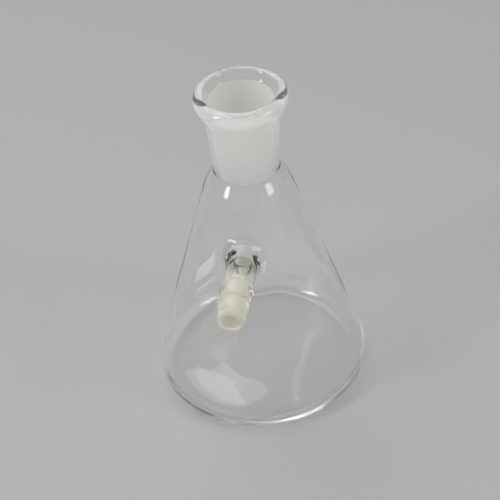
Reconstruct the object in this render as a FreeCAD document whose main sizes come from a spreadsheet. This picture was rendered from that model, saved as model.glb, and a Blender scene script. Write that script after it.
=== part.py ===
"""Conical filter flask for about 250 ml, with a 24/29 ground socket and a ribbed hose connection.

The flask is one hollow piece of borosilicate glass, in millimetres. It stands on the XY plane with
its axis on Z, and its hose connection points along -Y.
"""

import FreeCAD
import Part
import Sketcher

import math
import os

# Driving dimensions: name, value, what it measures.
DIMENSIONS = [
    ("overall_height", 134.0, "foot ring to top of lip"),
    ("body_diameter", 85.0, "widest part of the cone, at the heel"),
    ("heel_radius", 6.5, "outside rounding between cone and base"),
    ("foot_diameter", 62.0, "inner edge of the ring that the flask stands on"),
    ("push_up", 1.2, "how far the middle of the base is raised"),
    ("push_up_diameter", 28.0, "flat middle of the raised base"),
    ("base_thickness", 2.8, "glass between base and floor"),
    ("floor_radius", 5.0, "inside rounding between cone and floor"),
    ("wall", 2.0, "glass of the cone"),
    ("shoulder_length", 10.0, "narrow end of the ground bore down to the straight cone"),
    ("shoulder_flare", 4.8, "outside of the cone there, beyond the outside of the socket"),
    ("crown_radius", 28.0, "outside rounding from the cone into the shoulder"),
    ("shoulder_radius", 6.0, "outside rounding from the shoulder into the socket"),
    ("socket_bore", 24.0, "ground bore at its wide end"),
    ("socket_length", 29.0, "length of the ground bore"),
    ("socket_taper", 0.1, "bore lost for each millimetre of depth"),
    ("socket_root_wall", 1.65, "glass of the socket at the shoulder"),
    ("socket_top_wall", 2.1, "glass of the socket under the lip"),
    ("lip_height", 4.0, "flared mouth above the ground bore"),
    ("lip_width", 5.15, "widest part of the rolled lip beyond the bore"),
    ("lip_underside", 5.7, "from the lip's widest part down to the socket"),
    ("lip_crease_radius", 1.0, "rounding in the corner of lip and socket"),
    ("crown_width", 0.9, "level top of the lip, before its rim is rounded"),
    ("mouth_flare", 1.45, "how far the mouth opens beyond the bore"),
    ("mouth_radius", 0.7, "rounding of the mouth's rim"),
    ("arm_height", 73.2, "axis of the side arm above the foot ring"),
    ("arm_tube", 9.7, "plain tube of the side arm, from the cone outwards"),
    ("arm_diameter", 11.7, "outside of the plain tube"),
    ("arm_bore", 7.6, "bore of the plain tube"),
    ("weld_radius", 5.0, "outside blend of side arm and cone"),
    ("weld_bore_radius", 2.0, "inside blend of side arm and cone"),
    ("waist_length", 4.0, "length over which the tube narrows to the first groove"),
    ("hose_bore", 5.1, "bore through the ribs"),
    ("bore_narrowing", 6.0, "length over which the bore narrows"),
    ("hose_wall", 2.85, "glass between that bore and the grooves"),
    ("rib_height", 0.8, "crest of the first rib above the grooves, before rounding"),
    ("rib_drop", 0.2, "how much lower the next rib is"),
    ("rib_rise", 3.6, "groove to the crest in front of it"),
    ("rib_fall", 4.6, "crest to the next groove"),
    ("rib_radius", 4.0, "rounding of crests and grooves"),
    ("nose_fall", 3.1, "last crest to the groove behind the nose"),
    ("nose_length", 4.0, "that groove to the tip"),
    ("tip_wall", 2.45, "glass at the tip, before rounding"),
    ("tip_radius", 1.5, "outside rounding of the tip"),
    ("tip_bore_radius", 0.5, "inside rounding of the tip"),
]
RIBS = 2
CLOSE = 0.01

# Ends of a sketched line or arc, and the numbers of a sketch's axes and of the edges it borrows.
FIRST, LAST, CENTRE = range(1, 4)
ACROSS, UPRIGHT, CONE_OUTSIDE, CROWN_OUTSIDE = range(-1, -5, -1)
ORIGIN = (ACROSS, FIRST)

doc = FreeCAD.newDocument("filter_flask")


class Length:
    """A length, as the number it has now and as the formula that keeps it tied to the sheet."""

    def __init__(self, value, formula):
        self.value = value
        self.formula = formula

    def joined(self, sign, other, value):
        """Length worked out from this one and another length or a plain number."""
        right = other.formula if isinstance(other, Length) else str(other)
        return Length(value, f"({self.formula} {sign} {right})")

    def __add__(self, other):
        return self.joined("+", other, self.value + number(other))

    def __sub__(self, other):
        return self.joined("-", other, self.value - number(other))

    def __mul__(self, other):
        return self.joined("*", other, self.value * number(other))

    def __truediv__(self, other):
        return self.joined("/", other, self.value / number(other))


def number(length):
    """Value of a Length or of a plain number."""
    return length.value if isinstance(length, Length) else length


def make_sheet():
    """Spreadsheet with one named cell for each driving dimension."""
    sheet = doc.addObject("Spreadsheet::Sheet", "Dimensions")
    for row, (name, value, note) in enumerate(DIMENSIONS, start=1):
        sheet.set(f"A{row}", name)
        sheet.set(f"B{row}", str(value))
        sheet.setAlias(f"B{row}", name)
        sheet.set(f"C{row}", note)
    doc.recompute()
    return sheet


SHEET = make_sheet()


def size(name):
    """Driving dimension from the sheet."""
    return Length(float(SHEET.get(name)), f"Dimensions.{name}")


# Sketches: outlines of lines and arcs, each end dimensioned from the sheet.


def new_sketch(body, name, plane_role):
    """Empty sketch on one of the body's own origin planes."""
    sketch = body.newObject("Sketcher::SketchObject", name)
    plane = next(item for item in body.Origin.OriginFeatures if item.Role == plane_role)
    sketch.AttachmentSupport = (plane, [""])
    sketch.MapMode = "FlatFace"
    return sketch


def spot(x, y):
    """Point of a sketch, from lengths or plain numbers."""
    return FreeCAD.Vector(number(x), number(y), 0)


def draw_line(sketch, start, end):
    """Line between two points; gives its number in the sketch."""
    return sketch.addGeometry(Part.LineSegment(spot(*start), spot(*end)), False)


def draw_arc(sketch, centre, start, end):
    """Arc about a centre, counter-clockwise from start to end; gives its number."""
    middle = spot(*centre)
    arms = [spot(*start) - middle, spot(*end) - middle]
    angles = [math.atan2(arm.y, arm.x) for arm in arms]
    circle = Part.Circle(middle, FreeCAD.Vector(0, 0, 1), arms[0].Length)
    return sketch.addGeometry(Part.ArcOfCircle(circle, angles[0], angles[1]), False)


def constrain(sketch, kind, *parts):
    """Geometric constraint, such as Horizontal, Tangent or Coincident."""
    return sketch.addConstraint(Sketcher.Constraint(kind, *parts))


def dimension(sketch, name, kind, parts, length):
    """Named constraint with a value that follows the sheet."""
    index = constrain(sketch, kind, *parts, length.value)
    sketch.renameConstraint(index, name)
    sketch.setExpression(f"Constraints.{name}", length.formula)


def place(sketch, name, point, x=None, y=None, start=ORIGIN):
    """Dimension a point across and up from another point, the sketch's origin by default."""
    if x is not None:
        dimension(sketch, f"{name}_x", "DistanceX", (*start, *point), x)
    if y is not None:
        dimension(sketch, f"{name}_y", "DistanceY", (*start, *point), y)


def chain(sketch, pieces):
    """Join each line or arc to the start of the next."""
    for one, other in zip(pieces, pieces[1:]):
        constrain(sketch, "Coincident", one, LAST, other, FIRST)


# Features of the glass.


def turn(body, kind, name, sketch, axis):
    """Revolution or Groove of a sketch, all the way round one of its axes."""
    feature = body.newObject(kind, name)
    feature.Profile = sketch
    feature.ReferenceAxis = (sketch, [axis])
    feature.Angle = 360
    doc.recompute()
    return feature


def circles(feature, wanted):
    """Names of the circular edges that match one of these centres and radii."""
    names = []
    for index, edge in enumerate(feature.Shape.Edges, start=1):
        if edge.Degenerated or not isinstance(edge.Curve, Part.Circle):
            continue
        for centre, radius in wanted:
            off_centre = edge.Curve.Center.distanceToPoint(centre)
            if off_centre < CLOSE and abs(edge.Curve.Radius - number(radius)) < CLOSE:
                names.append(f"Edge{index}")
    return names


def rings(feature, corners):
    """Names of the circles about the flask's axis, from their radii and heights."""
    return circles(feature, [(FreeCAD.Vector(0, 0, number(height)), radius) for radius, height in corners])


def arm_rings(feature, corners):
    """Names of the circles about the side arm's axis, from their distances out and radii."""
    level = size("arm_height").value
    return circles(feature, [(FreeCAD.Vector(number(out), 0, level), radius) for out, radius in corners])


def saddle(feature, radius):
    """Names of the edges where a tube of this radius about the side arm's axis meets the cone."""
    level = size("arm_height").value
    names = []
    for index, edge in enumerate(feature.Shape.Edges, start=1):
        if edge.Degenerated:
            continue
        points = edge.discretize(9)
        off_tube = max(abs(math.hypot(p.y, p.z - level) - radius.value) for p in points)
        rise = max(p.z for p in points) - min(p.z for p in points)
        run = max(p.x for p in points) - min(p.x for p in points)
        if off_tube < CLOSE and rise > radius.value / 2 and run > CLOSE:
            names.append(f"Edge{index}")
    return names


def round_edges(body, name, base, edges, radius):
    """Fillet of a base feature's edges."""
    if not edges:
        raise RuntimeError(f"{name}: no edge found to round")
    fillet = body.newObject("PartDesign::Fillet", name)
    fillet.Base = (base, edges)
    fillet.setExpression("Radius", radius.formula)
    doc.recompute()
    return fillet


# Outside of the flask.


def bore_end():
    """Narrow end of the ground bore, as radius and height."""
    radius = size("socket_bore") / 2 - size("socket_length") * size("socket_taper") / 2
    return radius, size("overall_height") - size("lip_height") - size("socket_length")


def socket_root():
    """Outside radius of the socket where it comes out of the shoulder."""
    return bore_end()[0] + size("socket_root_wall")


def cone_top():
    """Upper end of the straight cone's outside, as radius and height."""
    return socket_root() + size("shoulder_flare"), bore_end()[1] - size("shoulder_length")


def crown_centre():
    """Centre of the rounding above the cone's end, as plain radius and height."""
    radius, height = cone_top()
    fall = size("body_diameter") / 2 - radius
    rise = height - size("heel_radius")
    lean = math.atan2(fall.value, rise.value)
    reach = size("crown_radius").value
    return radius.value - reach * math.cos(lean), height.value - reach * math.sin(lean)


def meeting(centre, radius, other_centre):
    """Where a rounding touches another one that curves the opposite way."""
    apart = math.dist(centre, other_centre)
    return tuple(one + (other - one) * radius / apart for one, other in zip(centre, other_centre))


def lip_level():
    """Height of the lip's widest part, and of the rolled rounding's centre."""
    return size("overall_height") - lip_roll()


def lip_roll():
    """Radius of the rounding from the lip's widest part to its level top."""
    return size("lip_width") - size("mouth_flare") - size("crown_width")


def lip_corner():
    """Corner between socket and lip, as radius and height."""
    depth = lip_roll() + size("lip_underside") - size("lip_height")
    bore = size("socket_bore") / 2 - depth * size("socket_taper") / 2
    return bore + size("socket_top_wall"), lip_level() - size("lip_underside")


def cone_radius(level):
    """Outside radius of the cone at a height, to a tenth of a millimetre."""
    radius, height = cone_top()
    fall = size("body_diameter") / 2 - radius
    rise = height - size("heel_radius")
    return size("body_diameter") / 2 - (level - size("heel_radius")) * fall / rise


def draw_outside(body):
    """Half section of the solid flask: base, heel, cone, shoulder, socket and rolled lip."""
    sketch = new_sketch(body, "outside_section", "YZ_Plane")
    base_middle = (0, size("push_up"))
    raised_edge = (size("push_up_diameter") / 2, size("push_up"))
    foot_edge = (size("foot_diameter") / 2, 0)
    heel_centre = (size("body_diameter") / 2 - size("heel_radius"), size("heel_radius"))
    widest = (size("body_diameter") / 2, size("heel_radius"))
    cone_end = cone_top()
    across, up = crown_centre()
    crown_radius, bend = size("crown_radius"), size("shoulder_radius")
    apart = crown_radius + bend
    bend_reach = (socket_root() + bend).value
    bend_level = up + math.sqrt(apart.value**2 - (bend_reach - across) ** 2)
    bend_centre = (bend_reach, bend_level)
    touch = meeting((across, up), crown_radius.value, bend_centre)
    root = (socket_root(), bend_level)
    crease = lip_corner()
    lip_edge = (size("socket_bore") / 2 + size("lip_width"), lip_level())
    underside_centre = (lip_edge[0] - size("lip_underside"), lip_level())
    roll_centre = (lip_edge[0] - lip_roll(), lip_level())
    lip_top = (roll_centre[0], size("overall_height"))
    top_middle = (0, size("overall_height"))

    raised = draw_line(sketch, base_middle, raised_edge)
    slope = draw_line(sketch, raised_edge, foot_edge)
    foot = draw_line(sketch, foot_edge, (heel_centre[0], 0))
    heel = draw_arc(sketch, heel_centre, (heel_centre[0], 0), widest)
    cone = draw_line(sketch, widest, cone_end)
    crown = draw_arc(sketch, (across, up), cone_end, touch)
    shoulder = draw_arc(sketch, bend_centre, root, touch)
    socket = draw_line(sketch, root, crease)
    underside = draw_arc(sketch, underside_centre, crease, lip_edge)
    roll = draw_arc(sketch, roll_centre, lip_edge, lip_top)
    top = draw_line(sketch, lip_top, top_middle)
    axis = draw_line(sketch, top_middle, base_middle)

    chain(sketch, [raised, slope, foot, heel])
    chain(sketch, [socket, underside, roll, top, axis, raised])
    constrain(sketch, "Tangent", heel, LAST, cone, FIRST)
    constrain(sketch, "Tangent", cone, LAST, crown, FIRST)
    constrain(sketch, "Tangent", crown, LAST, shoulder, LAST)
    constrain(sketch, "Tangent", shoulder, FIRST, socket, FIRST)
    constrain(sketch, "PointOnObject", raised, FIRST, UPRIGHT)
    constrain(sketch, "Horizontal", raised)
    constrain(sketch, "PointOnObject", slope, LAST, ACROSS)
    constrain(sketch, "PointOnObject", foot, LAST, ACROSS)
    constrain(sketch, "Vertical", heel, FIRST, heel, CENTRE)
    constrain(sketch, "Horizontal", underside, CENTRE, underside, LAST)
    constrain(sketch, "Horizontal", roll, CENTRE, roll, FIRST)
    constrain(sketch, "Vertical", roll, CENTRE, roll, LAST)
    constrain(sketch, "Horizontal", top)
    constrain(sketch, "PointOnObject", top, LAST, UPRIGHT)
    place(sketch, "raised_edge", (raised, LAST), *raised_edge)
    place(sketch, "foot_edge", (slope, LAST), x=foot_edge[0])
    place(sketch, "heel_centre", (heel, CENTRE), *heel_centre)
    place(sketch, "cone_top", (cone, LAST), *cone_end)
    dimension(sketch, "crown", "Radius", (crown,), crown_radius)
    dimension(sketch, "shoulder", "Radius", (shoulder,), bend)
    place(sketch, "root", (socket, FIRST), x=root[0])
    place(sketch, "crease", (socket, LAST), *crease)
    place(sketch, "lip_edge", (roll, FIRST), *lip_edge)
    place(sketch, "lip_top", (roll, LAST), y=lip_top[1])
    doc.recompute()
    return sketch


def make_outside(body, section):
    """Solid of revolution, with the crease under the lip rounded."""
    solid = turn(body, "PartDesign::Revolution", "outside", section, "V_Axis")
    crease = rings(solid, [lip_corner()])
    return round_edges(body, "lip_crease", solid, crease, size("lip_crease_radius"))


# Side arm with its ribs for a hose.


def waist():
    """End of the arm's plain tube, as distance from the flask's axis and radius of the tube."""
    return cone_radius(size("arm_height")) + size("arm_tube"), size("arm_diameter") / 2


def rib_corners():
    """Grooves and crests in turn, as distance from the flask's axis and radius of the tube."""
    groove_radius = size("hose_bore") / 2 + size("hose_wall")
    groove = waist()[0] + size("waist_length")
    corners = [(groove, groove_radius)]
    for rib in range(RIBS):
        crest = groove + size("rib_rise")
        groove = crest + (size("rib_fall") if rib < RIBS - 1 else size("nose_fall"))
        corners.append((crest, groove_radius + size("rib_height") - size("rib_drop") * rib))
        corners.append((groove, groove_radius))
    return corners


def tip():
    """Outer corner of the arm's tip, as distance from the flask's axis and radius."""
    return rib_corners()[-1][0] + size("nose_length"), size("hose_bore") / 2 + size("tip_wall")


def draw_tube(body, name, points):
    """Half section of something turned about the side arm's axis, closed along that axis."""
    sketch = new_sketch(body, name, "XZ_Plane")
    level = size("arm_height")
    reach = points[-1][0]
    axis = draw_line(sketch, (0, level), (reach, level))
    sketch.toggleConstruction(axis)
    constrain(sketch, "Horizontal", axis)
    constrain(sketch, "PointOnObject", axis, FIRST, UPRIGHT)
    place(sketch, "axis", (axis, FIRST), y=level)

    corners = [(0, level), *[(along, level + radius) for along, radius in points], (reach, level)]
    loop = [draw_line(sketch, one, other) for one, other in zip(corners, [*corners[1:], corners[0]])]
    chain(sketch, [*loop, loop[0]])
    root, end, back = loop[0], loop[-2], loop[-1]
    constrain(sketch, "Vertical", root)
    constrain(sketch, "Vertical", end)
    constrain(sketch, "Coincident", back, LAST, axis, FIRST)
    constrain(sketch, "Coincident", back, FIRST, axis, LAST)
    place(sketch, "root", (root, LAST), y=points[0][1], start=(axis, FIRST))
    for index, (line, point) in enumerate(zip(loop[1:], points[1:]), start=1):
        place(sketch, f"corner_{index}", (line, LAST), *point, start=(axis, FIRST))
    doc.recompute()
    return sketch


def make_arm(body, base):
    """Side arm from the flask's axis outwards, blended into the cone, ribbed and rounded."""
    tube_radius = size("arm_diameter") / 2
    section = draw_tube(body, "arm_section", [(0, tube_radius), waist(), *rib_corners(), tip()])
    arm = turn(body, "PartDesign::Revolution", "arm", section, "Axis0")
    weld = round_edges(body, "weld", arm, saddle(arm, tube_radius), size("weld_radius"))
    ribs = arm_rings(weld, [waist(), *rib_corners()])
    ribbed = round_edges(body, "ribs", weld, ribs, size("rib_radius"))
    return round_edges(body, "tip", ribbed, arm_rings(ribbed, [tip()]), size("tip_radius"))


# Inside of the flask.


def mouth_rim():
    """Inner edge of the lip's top, as radius and height."""
    return size("socket_bore") / 2 + size("mouth_flare"), size("overall_height")


def cone_edge(section, end):
    """Name of the outside section's edge that has this end, max for its top, where the cone stops."""
    for index, edge in enumerate(section.Shape.Edges, start=1):
        level = end(vertex.Z for vertex in edge.Vertexes)
        if abs(level - cone_top()[1].value) < CLOSE:
            return f"Edge{index}"
    raise RuntimeError("the outside section has no cone")


def draw_inside(body, outside_section):
    """Half section of the hollow: floor, cone, shoulder, ground bore and flared mouth."""
    sketch = new_sketch(body, "inside_section", "YZ_Plane")
    sketch.addExternal(outside_section.Name, cone_edge(outside_section, max))
    sketch.addExternal(outside_section.Name, cone_edge(outside_section, min))
    floor_middle = (0, size("push_up") + size("base_thickness"))
    raised_edge = (size("push_up_diameter") / 2, floor_middle[1])
    inner_heel = size("body_diameter") / 2 - size("wall")
    corner_level = size("base_thickness") + size("floor_radius")
    corner_centre = (inner_heel - size("floor_radius"), corner_level)
    corner_bottom = (corner_centre[0], size("base_thickness"))
    cone_end = (cone_top()[0] - size("wall"), cone_top()[1])
    narrow = bore_end()
    across, up = crown_centre()
    crown_radius = (size("crown_radius") - size("wall")).value
    aside, above = narrow[0].value - across, narrow[1].value - up
    bend = (aside**2 + above**2 - crown_radius**2) / (crown_radius - aside) / 2
    bend_centre = (narrow[0].value + bend, narrow[1].value)
    touch = meeting((across, up), crown_radius, bend_centre)
    wide = (size("socket_bore") / 2, size("overall_height") - size("lip_height"))
    rim = mouth_rim()
    top_middle = (0, size("overall_height"))

    raised = draw_line(sketch, floor_middle, raised_edge)
    slope = draw_line(sketch, raised_edge, corner_bottom)
    corner = draw_arc(sketch, corner_centre, corner_bottom, (inner_heel, corner_level))
    cone = draw_line(sketch, (inner_heel, corner_level), cone_end)
    crown = draw_arc(sketch, (across, up), cone_end, touch)
    shoulder = draw_arc(sketch, bend_centre, narrow, touch)
    bore = draw_line(sketch, narrow, wide)
    flare = draw_line(sketch, wide, rim)
    top = draw_line(sketch, rim, top_middle)
    axis = draw_line(sketch, top_middle, floor_middle)

    chain(sketch, [bore, flare, top, axis, raised, slope])
    constrain(sketch, "Tangent", slope, LAST, corner, FIRST)
    constrain(sketch, "Tangent", corner, LAST, cone, FIRST)
    constrain(sketch, "Tangent", cone, LAST, crown, FIRST)
    constrain(sketch, "Tangent", crown, LAST, shoulder, LAST)
    constrain(sketch, "Tangent", shoulder, FIRST, bore, FIRST)
    constrain(sketch, "Coincident", crown, CENTRE, CROWN_OUTSIDE, CENTRE)
    constrain(sketch, "PointOnObject", raised, FIRST, UPRIGHT)
    constrain(sketch, "Horizontal", raised)
    constrain(sketch, "PointOnObject", top, LAST, UPRIGHT)
    constrain(sketch, "Horizontal", top)
    constrain(sketch, "Parallel", cone, CONE_OUTSIDE)
    dimension(sketch, "wall", "Distance", (cone, FIRST, CONE_OUTSIDE), size("wall"))
    dimension(sketch, "corner", "Radius", (corner,), size("floor_radius"))
    place(sketch, "corner_centre", (corner, CENTRE), y=corner_level)
    place(sketch, "raised_edge", (raised, LAST), *raised_edge)
    place(sketch, "narrow", (bore, FIRST), *narrow)
    place(sketch, "wide", (bore, LAST), *wide)
    place(sketch, "rim", (flare, LAST), *rim)
    doc.recompute()
    return sketch


def make_inside(body, base, outside_section):
    """Hollow of the flask, with the mouth's rim rounded."""
    section = draw_inside(body, outside_section)
    hollow = turn(body, "PartDesign::Groove", "hollow", section, "V_Axis")
    if hollow.Shape.Volume > base.Shape.Volume / 2:
        raise RuntimeError("the hollow took too little glass away")
    return round_edges(body, "mouth", hollow, rings(hollow, [mouth_rim()]), size("mouth_radius"))


def make_arm_bore(body, base):
    """Bore of the side arm, wide in the tube and narrow through the ribs, open at both ends."""
    wide, narrow = size("arm_bore") / 2, size("hose_bore") / 2
    narrow_start = rib_corners()[0][0]
    reach = tip()[0]
    points = [
        (0, wide),
        (narrow_start - size("bore_narrowing"), wide),
        (narrow_start, narrow),
        (reach, narrow),
    ]
    section = draw_tube(body, "arm_bore_section", points)
    bore = turn(body, "PartDesign::Groove", "arm_bore", section, "Axis0")
    if bore.Shape.Volume > base.Shape.Volume - CLOSE:
        raise RuntimeError("the side arm's bore took no glass away")
    blended = round_edges(body, "weld_bore", bore, saddle(bore, wide), size("weld_bore_radius"))
    end = arm_rings(blended, [(reach, narrow)])
    return round_edges(body, "tip_bore", blended, end, size("tip_bore_radius"))


def make_flask():
    """The whole flask, turned so that its side arm points along -Y."""
    body = doc.addObject("PartDesign::Body", "flask")
    body.Label = "flask"
    outside_section = draw_outside(body)
    outside = make_outside(body, outside_section)
    with_arm = make_arm(body, outside)
    hollow = make_inside(body, with_arm, outside_section)
    body.Tip = make_arm_bore(body, hollow)
    body.Placement = FreeCAD.Placement(
        FreeCAD.Vector(0, 0, 0),
        FreeCAD.Rotation(FreeCAD.Vector(0, 0, 1), -90),
    )
    doc.recompute()
    return body


def check(bodies):
    """Stop if any object failed to build or a body isn't one sound solid."""
    for item in doc.Objects:
        if "Invalid" in item.State or "Error" in item.State:
            raise RuntimeError(f"{item.Name} failed to build: {item.State}")
    for body in bodies:
        if body.Shape.isNull() or not body.Shape.isValid() or len(body.Shape.Solids) != 1:
            raise RuntimeError(f"{body.Label} isn't one sound solid")


flask = make_flask()
check([flask])
os.makedirs("parts", exist_ok=True)
flask.Shape.exportStep(f"parts/{flask.Label}.step")
print(f"{flask.Label}: {flask.Shape.Volume / 1000:.1f} cm3 of glass, box {flask.Shape.BoundBox}")
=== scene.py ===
"""Filter flask for about 250 ml, of clear borosilicate glass, in metres, standing on a studio floor."""

import math

import bmesh
import bpy
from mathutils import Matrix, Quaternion, Vector


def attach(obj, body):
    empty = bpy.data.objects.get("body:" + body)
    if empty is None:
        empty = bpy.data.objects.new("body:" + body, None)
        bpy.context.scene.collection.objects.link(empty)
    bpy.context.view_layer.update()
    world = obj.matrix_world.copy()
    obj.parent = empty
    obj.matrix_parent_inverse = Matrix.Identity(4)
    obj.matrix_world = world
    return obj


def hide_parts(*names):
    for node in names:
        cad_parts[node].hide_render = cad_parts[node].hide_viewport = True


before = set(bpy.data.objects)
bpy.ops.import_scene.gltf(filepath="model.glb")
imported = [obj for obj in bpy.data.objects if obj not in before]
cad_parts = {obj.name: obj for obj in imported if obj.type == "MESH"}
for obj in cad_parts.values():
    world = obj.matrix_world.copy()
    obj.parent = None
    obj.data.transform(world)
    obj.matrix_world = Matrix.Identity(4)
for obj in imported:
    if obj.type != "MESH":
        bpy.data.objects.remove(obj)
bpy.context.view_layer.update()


# The body is a cone of borosilicate glass with a thick heel and a socket fused on its top.
# Heel, cone and socket are turned in the flame on a glass lathe, so one half section spun about
# the flask's axis gives the whole skin, the outside and the inside in one.

MM = 0.001
SIDES = 48
# A ring of straight sides shrinks to this share of its radius when it is smoothed.
SMOOTHED = (2 + math.cos(math.tau / SIDES)) / 3

CONE_TOP = (17, 91)
WALL_SLOPE = 0.3053
WALL_ACROSS = 2.09
CROWN = (-9.78, 82.82)
SOCKET_FOOT = (12.2, 102.6)
SOCKET_SLOPE = 0.073
GROUND_MOUTH = (12, 130)
# The ground bore narrows by a tenth of its depth in diameter.
GROUND_SLOPE = 0.05
ARM_LEVEL = 73.2
# The side arm takes the place of a patch of faces, this many steps each way from the arm's axis.
PATCH_STEPS = 3
OUTER_STEP = 3.2
INNER_STEP = 2.5


def outer_wall(level):
    """Radius of the cone's outside at a height, in millimetres as all of the section is."""
    return CONE_TOP[0] + (CONE_TOP[1] - level) * WALL_SLOPE


def inner_wall(level):
    """Radius of the cone's inside at a height."""
    return outer_wall(level) - WALL_ACROSS


def socket_wall(level):
    """Radius of the socket's outside at a height."""
    return SOCKET_FOOT[0] + (level - SOCKET_FOOT[1]) * SOCKET_SLOPE


def ground_bore(level):
    """Radius of the ground bore at a height."""
    return GROUND_MOUTH[0] - (GROUND_MOUTH[1] - level) * GROUND_SLOPE


def arc(centre, radius, angles):
    """Points of a rounding, from its centre, radius and angles in degrees."""
    turns = [math.radians(angle) for angle in angles]
    return [(centre[0] + radius * math.cos(t), centre[1] + radius * math.sin(t)) for t in turns]


def run(radius_at, levels):
    """Points of a wall at these heights."""
    return [(radius_at(level), level) for level in levels]


upwards = range(-PATCH_STEPS, PATCH_STEPS + 1)
outer_patch = [ARM_LEVEL + step * OUTER_STEP for step in upwards]
inner_patch = [ARM_LEVEL - step * INNER_STEP for step in upwards]
base = [(0, 1.2), (7, 1.2), (13, 1.2), (15.5, 1.15), (22, 0.6), (29.5, 0.05), (32, 0), (35.5, 0)]
heel = arc((36, 6.5), 6.5, [-78, -60, -42, -24, -6, 10])
cone = run(outer_wall, [10.5, 16, 26, 37, 48, 57, *outer_patch, 86.5, 90.2])
crown = arc(CROWN, 28, [18.5, 23.5, 29, 33.5])
shoulder = arc((18.18, 102.16), 6, [212, 203, 192, 181])
socket = run(socket_wall, [103.2, 107.5, 112, 118, 122.5, 124.5])
lip_underside = arc((10.55, 131.2), 6.6, [-56, -44, -30, -15])
lip = arc((14.35, 131.2), 2.8, [0, 25, 50, 75, 100])
mouth = [(13.45, 133.55), (13.12, 132.7), (12.5, 131.1), (12.15, 130.25)]
ground = run(ground_bore, [130, 129.6, 124, 117, 110, 104, 101.8])
throat = arc((15.67, 100.74), 5.12, [180, 190, 201, 211])
crown_inside = arc(CROWN, 26, [34, 29, 23.5, 18.5])
hollow = run(inner_wall, [89.4, 85.5, *inner_patch, 59, 50, 40, 30, 20, 12, 9.8])
floor = [*arc((35.08, 7.8), 5, [6, -14, -34, -54, -74]), (34.4, 2.83), (30, 3.08), (22, 3.54)]
floor_middle = [(15.5, 3.92), (13, 4), (7, 4), (0, 4)]
half_section = [
    *base,
    *heel,
    *cone,
    *crown,
    *shoulder,
    *socket,
    *lip_underside,
    *lip,
    *mouth,
    *ground,
    *throat,
    *crown_inside,
    *hollow,
    *floor,
    *floor_middle,
]

bpy.ops.object.select_all(action="DESELECT")
bpy.ops.mesh.primitive_plane_add(size=MM)
flask = bpy.context.object
flask.name = "glass_flask"
bpy.ops.object.mode_set(mode="EDIT")
bpy.ops.mesh.select_mode(type="VERT")
bpy.ops.mesh.merge(type="CENTER")
section = [Vector((radius / SMOOTHED, 0, level)) * MM for radius, level in half_section]
bpy.ops.transform.translate(value=section[0])
for start, end in zip(section, section[1:]):
    bpy.ops.mesh.extrude_region_move(TRANSFORM_OT_translate={"value": end - start})
bpy.ops.mesh.select_all(action="SELECT")
bpy.ops.mesh.spin(steps=SIDES, angle=math.tau, center=(0, 0, 0), axis=(0, 0, 1))
bpy.ops.mesh.select_all(action="SELECT")
bpy.ops.mesh.remove_doubles(threshold=0.01 * MM)


# The side arm is a tube of the same glass, drawn down to a hose end with two soft bulges and a
# rounded nose, and fused to the cone with a flared weld. It grows ring by ring out of a hole in the
# cone's outside, turns in at its tip, and runs back as the bore to a hole in the cone's inside.

ARM_SIDES = 8 * PATCH_STEPS
# The rings of the arm are sorted by their turn from here, just under level, in radians.
FIRST_TURN = -0.05
# Each ring has a radius and a distance, from the cone's skin at the welds and elsewhere from the
# flask's axis.
OUTER_WELD = [(9.8, 0.25), (8.2, 1.1), (7.1, 2.4), (6.4, 4.0), (6.02, 5.8)]
TUBE = [(5.88, 30.2), (5.82, 32.0), (5.68, 33.4), (5.5, 34.8)]
WAIST = [(5.3, 36.1), (5.5, 37.2)]
FIRST_BULGE = [(6.2, 38.5), (6.55, 39.6), (6.35, 40.9), (5.65, 42.6), (5.2, 44.1)]
SECOND_BULGE = [(5.4, 45.2), (6.0, 46.6), (6.3, 47.7), (6.05, 49.0), (5.45, 50.3)]
NOSE = [(5.2, 51.2), (5.36, 52.6), (5.38, 53.9), (5.05, 54.9), (4.3, 55.38), (3.4, 55.45), (2.9, 55.2)]
TIP_BORE = [(2.7, 54.7), (2.55, 53.8), (2.55, 49), (2.55, 43), (2.55, 37.5)]
TUBE_BORE = [(2.7, 35.8), (3.2, 33), (3.7, 30.6), (3.8, 28.9)]
INNER_WELD = [(3.82, 3.6), (4.05, 1.7), (4.75, 0.5), (5.9, 0)]


def azimuth(point):
    """Angle of a point round the flask's axis, from the side arm."""
    return math.atan2(point.x, -point.y)


def turn_about_arm(vertex):
    """Angle of a point round the side arm's axis, from the first turn."""
    return (math.atan2(vertex.co.z - ARM_LEVEL * MM, vertex.co.x) - FIRST_TURN) % math.tau


def lay_ring(radius, out, wall=None):
    """Set the selected ring round the arm's axis, this far from the flask's axis or from a wall."""
    mesh = bmesh.from_edit_mesh(flask.data)
    ring = sorted((vertex for vertex in mesh.verts if vertex.select), key=turn_about_arm)
    for step, vertex in enumerate(ring):
        turn = math.tau * step / ARM_SIDES
        across = radius * math.cos(turn)
        level = ARM_LEVEL + radius * math.sin(turn)
        skin = math.sqrt((wall(level) / SMOOTHED) ** 2 - across**2) if wall else 0
        vertex.co = Vector((across, -(skin + out), level)) * MM
    bmesh.update_edit_mesh(flask.data)


def open_patch(levels, beyond):
    """Take out the faces between these heights that look along the arm, on one skin of the cone."""
    mesh = bmesh.from_edit_mesh(flask.data)
    for face in mesh.faces:
        centre = face.calc_center_median()
        near = abs(azimuth(centre)) < math.tau * PATCH_STEPS / SIDES
        level = min(levels) * MM < centre.z < max(levels) * MM
        face.select_set(near and level and beyond(centre))
    bmesh.update_edit_mesh(flask.data)
    bpy.ops.mesh.delete(type="FACE")


def pick_rim(beyond):
    """Select the open edges on one skin of the cone."""
    bpy.ops.mesh.select_all(action="DESELECT")
    mesh = bmesh.from_edit_mesh(flask.data)
    for edge in mesh.edges:
        if edge.is_boundary and all(beyond(vertex.co) for vertex in edge.verts):
            edge.select_set(True)
    bmesh.update_edit_mesh(flask.data)


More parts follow.
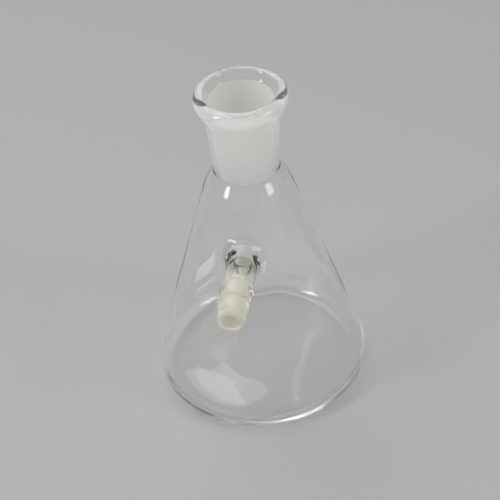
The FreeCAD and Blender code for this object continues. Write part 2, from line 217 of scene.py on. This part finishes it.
def on_outside(point):
    """Whether a point is on the cone's outer skin."""
    return math.hypot(point.x, point.y) > (outer_wall(point.z / MM) - WALL_ACROSS / 2) * MM


def on_inside(point):
    """Whether a point is on the cone's inner skin."""
    return not on_outside(point)


bpy.ops.mesh.select_mode(type="FACE")
open_patch(outer_patch, on_outside)
open_patch(inner_patch, on_inside)
bpy.ops.mesh.select_mode(type="EDGE")
pick_rim(on_inside)
lay_ring(*INNER_WELD[-1], wall=inner_wall)
pick_rim(on_outside)
lay_ring(*OUTER_WELD[0], wall=outer_wall)
for radius, lift in OUTER_WELD[1:]:
    bpy.ops.mesh.extrude_edges_move()
    lay_ring(radius, lift, wall=outer_wall)
for radius, out in [*TUBE, *WAIST, *FIRST_BULGE, *SECOND_BULGE, *NOSE, *TIP_BORE, *TUBE_BORE]:
    bpy.ops.mesh.extrude_edges_move()
    lay_ring(radius, out)
for radius, lift in INNER_WELD:
    bpy.ops.mesh.extrude_edges_move()
    lay_ring(radius, lift, wall=inner_wall)
bpy.ops.mesh.select_all(action="SELECT")
bpy.ops.mesh.remove_doubles(threshold=0.01 * MM)
bpy.ops.mesh.normals_make_consistent(inside=False)
bpy.ops.object.mode_set(mode="OBJECT")


# The glass is fire-polished and clear all over but for two places. The socket's bore is ground with
# fine grit so that a cone seals in it, and looks milky white. The outside of the hose end was worked
# long in the flame and turned slightly yellow and milky.

GLASS_INDEX = 1.474
POLISHED = (0.996, 0.999, 0.996, 1)
WORKED = (0.925, 0.895, 0.785, 1)
GROUND = (0.97, 0.975, 0.97, 1)
DEPTH_TINT = (0.87, 0.9, 0.78, 1)
# The worked glass turns milky between these distances from the flask's axis, in metres.
MILKY_FROM = 0.032
MILKY_TO = 0.037
GROUND_FOOT = 99.4
GROUND_RADIUS = 12.1
# The arm's own faces start this far from the flask's axis, and stay this near to the arm's axis.
ARM_START = 27.5
ARM_RADIUS = 9
# What is nearer to the arm's axis than this is its bore, which is narrower near the tip.
BORE_RADIUS = 4.3
TIP_START = 50
TIP_BORE_RADIUS = 2.9


def new_material(name):
    """Material of this name, and its shader."""
    material = bpy.data.materials.new(name)
    material.use_nodes = True
    return material, material.node_tree.nodes["Principled BSDF"]


def add_node(material, kind, **settings):
    """Node of a material, with its settings."""
    node = material.node_tree.nodes.new(kind)
    for name, value in settings.items():
        setattr(node, name, value)
    return node


def noise(material, scale, detail, stretch=(1, 1, 1)):
    """Noise on the piece's own coordinates, finer with scale, drawn out by stretch."""
    place = add_node(material, "ShaderNodeTexCoord")
    mapping = add_node(material, "ShaderNodeMapping")
    mapping.inputs["Scale"].default_value = stretch
    pattern = add_node(material, "ShaderNodeTexNoise")
    pattern.inputs["Scale"].default_value = scale
    pattern.inputs["Detail"].default_value = detail
    material.node_tree.links.new(place.outputs["Object"], mapping.inputs["Vector"])
    material.node_tree.links.new(mapping.outputs["Vector"], pattern.inputs["Vector"])
    return pattern.outputs["Fac"]


def spread(material, source, low, high, start=0.35, end=0.65):
    """Values from start to end of a source, stretched to go from low to high."""
    node = add_node(material, "ShaderNodeMapRange")
    for name, value in (("From Min", start), ("From Max", end), ("To Min", low), ("To Max", high)):
        node.inputs[name].default_value = value
    material.node_tree.links.new(source, node.inputs["Value"])
    return node.outputs["Result"]


def raise_surface(material, shader, pattern, strength, depth):
    """Bump of a shader from a pattern, depth in metres."""
    bump = add_node(material, "ShaderNodeBump")
    bump.inputs["Strength"].default_value = strength
    bump.inputs["Distance"].default_value = depth
    material.node_tree.links.new(pattern, bump.inputs["Height"])
    material.node_tree.links.new(bump.outputs["Normal"], shader.inputs["Normal"])


def tint_depth(material, colour, density):
    """Faint colour that thick glass takes on, density for each metre."""
    absorption = add_node(material, "ShaderNodeVolumeAbsorption")
    absorption.inputs["Color"].default_value = colour
    absorption.inputs["Density"].default_value = density
    output = material.node_tree.nodes["Material Output"]
    material.node_tree.links.new(absorption.outputs["Volume"], output.inputs["Volume"])


def along_arm(material, low, high):
    """Value that goes from low to high out along the side arm, where its glass turns milky."""
    place = add_node(material, "ShaderNodeTexCoord")
    parts = add_node(material, "ShaderNodeSeparateXYZ")
    material.node_tree.links.new(place.outputs["Object"], parts.inputs["Vector"])
    return spread(material, parts.outputs["Y"], high, low, start=-MILKY_TO, end=-MILKY_FROM)


def blend_colours(material, share, first, second):
    """Colour that goes from the first to the second with share."""
    blend = add_node(material, "ShaderNodeMix", data_type="RGBA")
    blend.inputs["A"].default_value = first
    blend.inputs["B"].default_value = second
    material.node_tree.links.new(share, blend.inputs["Factor"])
    return blend.outputs["Result"]


clear_glass, shader = new_material("clear_glass")
shader.inputs["Base Color"].default_value = POLISHED
shader.inputs["Transmission Weight"].default_value = 1
shader.inputs["IOR"].default_value = GLASS_INDEX
handled = spread(clear_glass, noise(clear_glass, 45, 6), 0.0, 0.02)
clear_glass.node_tree.links.new(handled, shader.inputs["Roughness"])
striae = noise(clear_glass, 60, 2, stretch=(1, 1, 0.35))
raise_surface(clear_glass, shader, striae, 0.12, 0.0006)
tint_depth(clear_glass, DEPTH_TINT, 3)

worked_glass, shader = new_material("worked_glass")
shader.inputs["IOR"].default_value = GLASS_INDEX
links = worked_glass.node_tree.links
tint = blend_colours(worked_glass, along_arm(worked_glass, 0, 1), POLISHED, WORKED)
links.new(tint, shader.inputs["Base Color"])
links.new(along_arm(worked_glass, 1, 0.66), shader.inputs["Transmission Weight"])
links.new(along_arm(worked_glass, 0, 0.03), shader.inputs["Roughness"])
heated = noise(worked_glass, 160, 3)
raise_surface(worked_glass, shader, heated, 0.1, 0.0005)
tint_depth(worked_glass, DEPTH_TINT, 2)

ground_glass, shader = new_material("ground_glass")
shader.inputs["Base Color"].default_value = GROUND
shader.inputs["Transmission Weight"].default_value = 0.45
shader.inputs["IOR"].default_value = GLASS_INDEX
grit = noise(ground_glass, 3500, 3)
grinding = noise(ground_glass, 500, 3, stretch=(1, 1, 6))
ground_glass.node_tree.links.new(spread(ground_glass, grinding, 0.5, 0.7), shader.inputs["Roughness"])
raise_surface(ground_glass, shader, grit, 0.4, 0.00005)
tint_depth(ground_glass, DEPTH_TINT, 2)

flask.data.materials.append(clear_glass)
flask.data.materials.append(ground_glass)
flask.data.materials.append(worked_glass)
for face in flask.data.polygons:
    centre = face.center / MM
    from_axis = math.hypot(centre.x, centre.y)
    from_arm_axis = math.hypot(centre.x, centre.z - ARM_LEVEL)
    bore = TIP_BORE_RADIUS if centre.y < -TIP_START else BORE_RADIUS
    if GROUND_FOOT < centre.z < GROUND_MOUTH[1] and from_axis < GROUND_RADIUS:
        face.material_index = flask.data.materials.find("ground_glass")
    elif centre.y < -ARM_START and bore < from_arm_axis < ARM_RADIUS:
        face.material_index = flask.data.materials.find("worked_glass")

smooth = flask.modifiers.new("smooth", "SUBSURF")
smooth.levels = smooth.render_levels = 2
bpy.ops.object.modifier_apply(modifier="smooth")
bpy.ops.object.shade_smooth()
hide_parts("flask")
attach(flask, "root")


# A white writing field and a ruled line below it are enamel, screened on the outside of the cone at
# the back left and fired on, so that they stand a few hundredths of a millimetre proud of the glass.

FIELD = (21, 11)
FIELD_LEVEL = 28
LINE = (19, 1.0)
LINE_LEVEL = 15.5
PRINT_TURN = math.radians(-134.5)
PRINT_LEAN = math.atan(WALL_SLOPE)
# How far outside and above its place a field starts, before it is laid on the glass.
STAND_OFF = 3
LIFT = 1
ENAMEL_GAP = 0.02
ENAMEL_DEPTH = 0.05


def print_enamel(name, size, level, material):
    """Thin field of enamel laid on the cone at a height, its width and height in millimetres."""
    bpy.ops.object.select_all(action="DESELECT")
    bpy.ops.mesh.primitive_grid_add(x_subdivisions=24, y_subdivisions=12, size=MM)
    enamel = bpy.context.object
    enamel.name = name
    enamel.scale = (size[0], size[1], 1)
    upright = Quaternion((1, 0, 0), math.pi / 2 - PRINT_LEAN)
    enamel.rotation_mode = "QUATERNION"
    enamel.rotation_quaternion = Quaternion((0, 0, 1), PRINT_TURN) @ upright
    out = outer_wall(level) + STAND_OFF
    enamel.location = Vector((out * math.sin(PRINT_TURN), -out * math.cos(PRINT_TURN), level + LIFT)) * MM
    bpy.ops.object.transform_apply(location=True, rotation=True, scale=True)
    wrap = enamel.modifiers.new("on_glass", "SHRINKWRAP")
    wrap.target = flask
    wrap.wrap_method = "NEAREST_SURFACEPOINT"
    wrap.offset = ENAMEL_GAP * MM
    bpy.ops.object.modifier_apply(modifier="on_glass")
    thick = enamel.modifiers.new("thick", "SOLIDIFY")
    thick.thickness = ENAMEL_DEPTH * MM
    thick.offset = 1
    bpy.ops.object.modifier_apply(modifier="thick")
    bpy.ops.object.shade_smooth_by_angle(angle=math.radians(40))
    enamel.data.materials.append(material)
    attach(enamel, "root")


white_enamel, shader = new_material("white_enamel")
shader.inputs["Roughness"].default_value = 0.42
shader.inputs["Subsurface Weight"].default_value = 0.6
shader.inputs["Subsurface Radius"].default_value = (1, 1, 1)
shader.inputs["Subsurface Scale"].default_value = 0.0004
screened = spread(white_enamel, noise(white_enamel, 900, 4), 0, 1)
enamel_tone = blend_colours(white_enamel, screened, (0.9, 0.9, 0.88, 1), (0.96, 0.96, 0.945, 1))
white_enamel.node_tree.links.new(enamel_tone, shader.inputs["Base Color"])
raise_surface(white_enamel, shader, noise(white_enamel, 2500, 2), 0.3, 0.00003)
print_enamel("writing_field", FIELD, FIELD_LEVEL, white_enamel)
print_enamel("ruled_line", LINE, LINE_LEVEL, white_enamel)


# The studio is a plain pale floor under soft lamps, seen from above as on a bench.

bpy.ops.object.select_all(action="DESELECT")
bpy.ops.mesh.primitive_plane_add(size=6)
studio_floor = bpy.context.object
studio_floor.name = "studio_floor"
paper, shader = new_material("pale_paper")
shader.inputs["Base Color"].default_value = (0.4, 0.4, 0.395, 1)
shader.inputs["Roughness"].default_value = 0.9
studio_floor.data.materials.append(paper)

world = bpy.data.worlds.new("soft_room")
bpy.context.scene.world = world
world.use_nodes = True
world.node_tree.nodes["Background"].inputs["Color"].default_value = (0.5, 0.5, 0.51, 1)
world.node_tree.nodes["Background"].inputs["Strength"].default_value = 1


def add_lamp(name, place, target, size, power):
    """Soft rectangular lamp that looks at a point."""
    bpy.ops.object.light_add(type="AREA", location=place)
    lamp = bpy.context.object
    lamp.name = name
    lamp.data.shape = "RECTANGLE"
    lamp.data.size, lamp.data.size_y = size
    lamp.data.energy = power
    aim = Vector(target) - Vector(place)
    lamp.rotation_euler = aim.to_track_quat("-Z", "Y").to_euler()
    return lamp


add_lamp("overhead", (-0.3, 0.2, 1.1), (0, 0, 0.05), (0.9, 0.9), 5.2)
add_lamp("left_window", (-0.75, -0.55, 0.55), (0, 0, 0.06), (0.18, 0.7), 3.6)
add_lamp("right_window", (0.8, -0.25, 0.5), (0, 0, 0.06), (0.3, 0.6), 2.2)

# Light crosses four skins of glass on its way in and four on its way out.
bpy.context.scene.cycles.max_bounces = 32
bpy.context.scene.cycles.transmission_bounces = 32
bpy.context.scene.cycles.glossy_bounces = 32
# Blurring glossy light after a matt surface would swallow half of what comes through the walls.
bpy.context.scene.cycles.blur_glossy = 0

CAMERA_PLACE = Vector((77.1, -389.4, 407)) * MM
CAMERA_AIM = Vector((-1.57, -0.31, 58.7)) * MM
LENS = 97.78
ROLL = math.radians(-5.28)
bpy.ops.object.camera_add(location=CAMERA_PLACE)
camera = bpy.context.object
camera.data.lens = LENS
camera.data.sensor_width = 36
facing = (CAMERA_AIM - CAMERA_PLACE).to_track_quat("-Z", "Y")
camera.rotation_euler = (facing @ Quaternion((0, 0, 1), ROLL)).to_euler()
bpy.context.scene.camera = camera

bpy.context.scene.view_settings.view_transform = "Standard"
bpy.context.view_layer.update()
